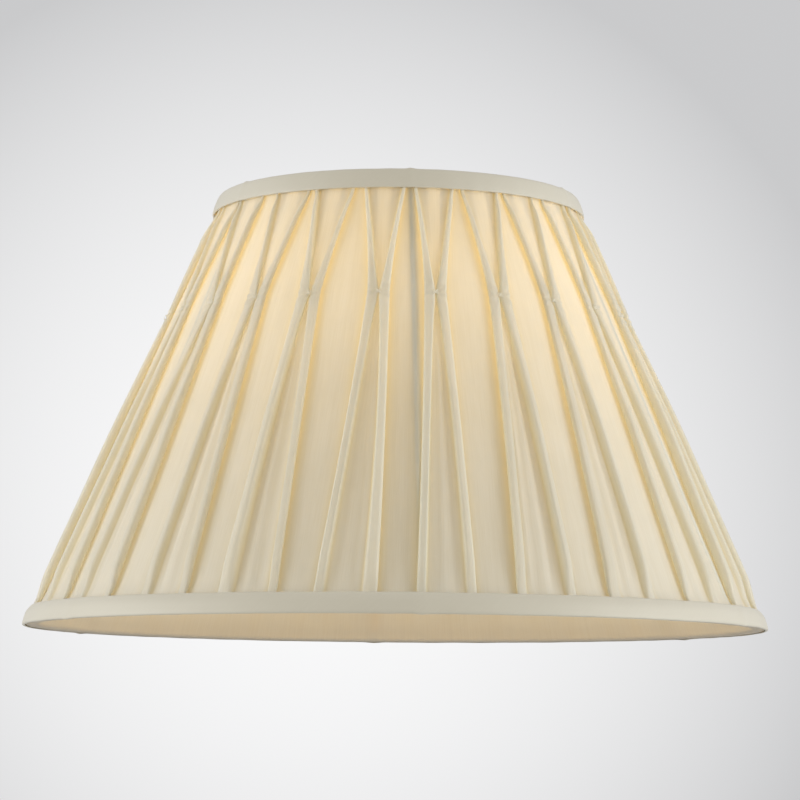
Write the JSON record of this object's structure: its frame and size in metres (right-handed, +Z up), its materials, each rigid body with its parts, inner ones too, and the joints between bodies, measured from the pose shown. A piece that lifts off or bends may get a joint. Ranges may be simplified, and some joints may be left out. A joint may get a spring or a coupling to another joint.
{
  "type": "lamp shade",
  "caption": "Round tapered fabric lamp shade with pinched pleats, plain trims, a lined wire frame and a turning fitter ring.",
  "frame": {"origin": "centre of the base rim, on the plane the shade stands on", "axes": "+Z up the shade's axis, -Y to the front, X along the fitter's pivot axis"},
  "size_m": [0.4099, 0.41, 0.24],
  "materials": {
    "frame_wire": "white plastic-dipped wire",
    "binding_tape": "woven cotton tape",
    "cover_silk": "ivory silk, thin enough to glow",
    "sewing_thread": "ivory sewing thread",
    "lining_cloth": "peach-ivory lining satin",
    "trim_satin": "ivory satin bias band",
    "fitter_steel": "white painted pressed steel",
    "reducer_plastic": "white moulded plastic"
  },
  "bodies": {
    "shade": {"top_ring": "frame_wire", "bottom_ring": "frame_wire", "strut_1": "frame_wire", "strut_2": "frame_wire", "strut_3": "frame_wire", "strut_4": "frame_wire", "strut_5": "frame_wire", "strut_6": "frame_wire", "right_arm": "frame_wire", "left_arm": "frame_wire", "top_ring_binding": "binding_tape", "bottom_ring_binding": "binding_tape", "pleated_cover": "cover_silk", "pinch_stitches": "sewing_thread", "lining": "lining_cloth", "lining_seam": "lining_cloth", "right_arm_sleeve": "lining_cloth", "left_arm_sleeve": "lining_cloth", "top_trim": "trim_satin", "bottom_trim": "trim_satin", "pivot_rivets": "fitter_steel"},
    "fitter": {"fitter_ring": "fitter_steel"},
    "reducer": {"reducer_ring": "reducer_plastic"}
  },
  "joints": [
    {"name": "fitter_turn", "type": "hinge", "parent": "shade", "child": "fitter", "pos_m": [0, 0, 0.22275], "axis": [1, 0, 0], "continuous": true},
    {"name": "reducer_lift", "type": "slide", "parent": "fitter", "child": "reducer", "axis": [0, 0, 1], "range_m": [0, 0.012]}
  ]
}
